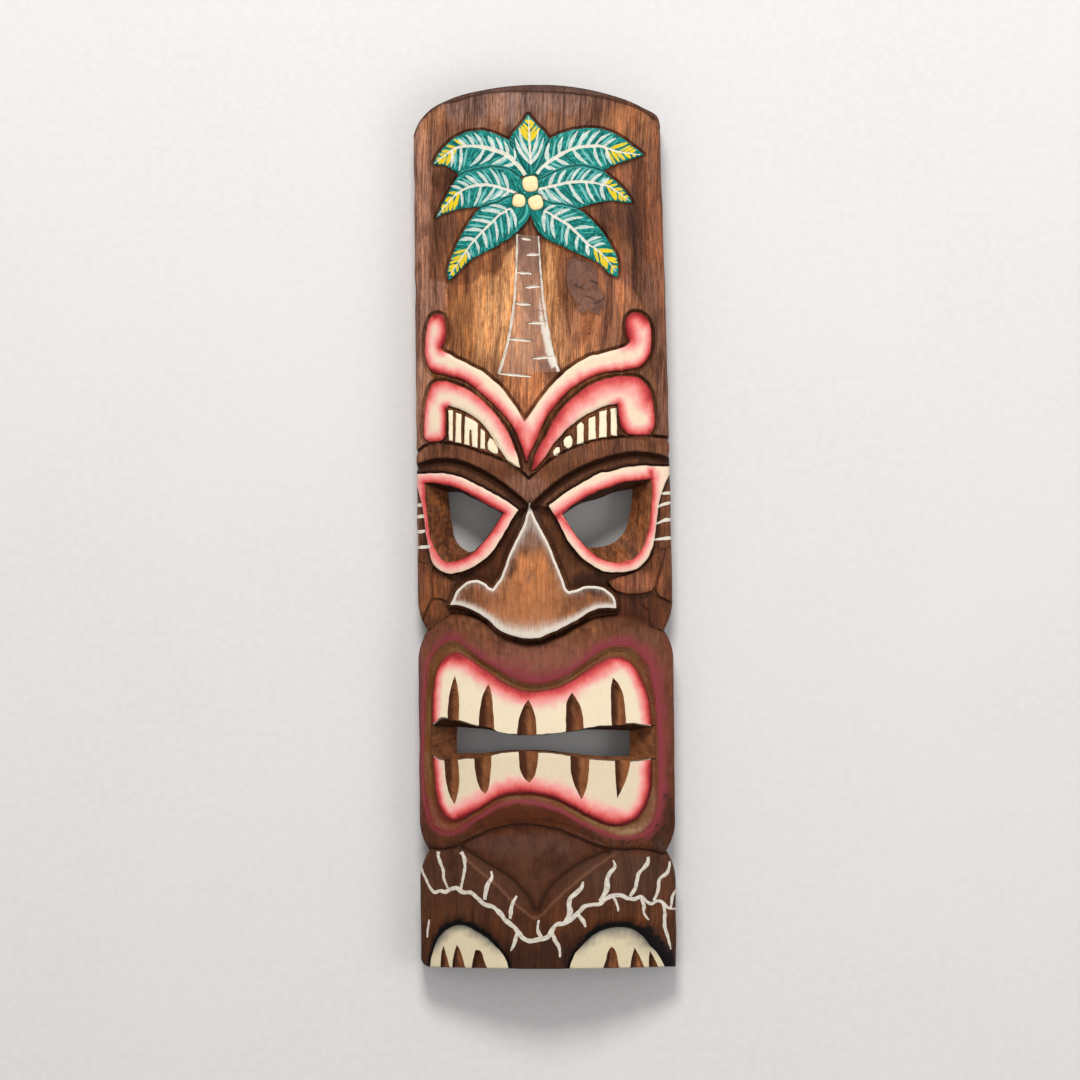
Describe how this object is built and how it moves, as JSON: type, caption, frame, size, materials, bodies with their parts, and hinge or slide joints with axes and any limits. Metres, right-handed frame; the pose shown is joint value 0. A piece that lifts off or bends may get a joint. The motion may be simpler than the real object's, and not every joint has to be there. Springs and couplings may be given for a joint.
{
  "type": "carved wooden mask",
  "caption": "Tall narrow mask carved from one wooden board and painted, with a hollow back, pierced eyes and mouth, and an incised palm tree on the forehead.",
  "frame": {"origin": "on the surface that the mask lies on, under the middle of its bounding box", "axes": "+Z out of the face, +Y towards the crown, +X to the right of someone who looks at the face"},
  "size_m": [0.1494, 0.5, 0.0427],
  "materials": {
    "painted_wood": "Stained and lacquered carved wood with a satin sheen, brush-painted in cream, red, teal, yellow and white."
  },
  "bodies": {
    "root": {"mask": "painted_wood"}
  },
  "joints": []
}
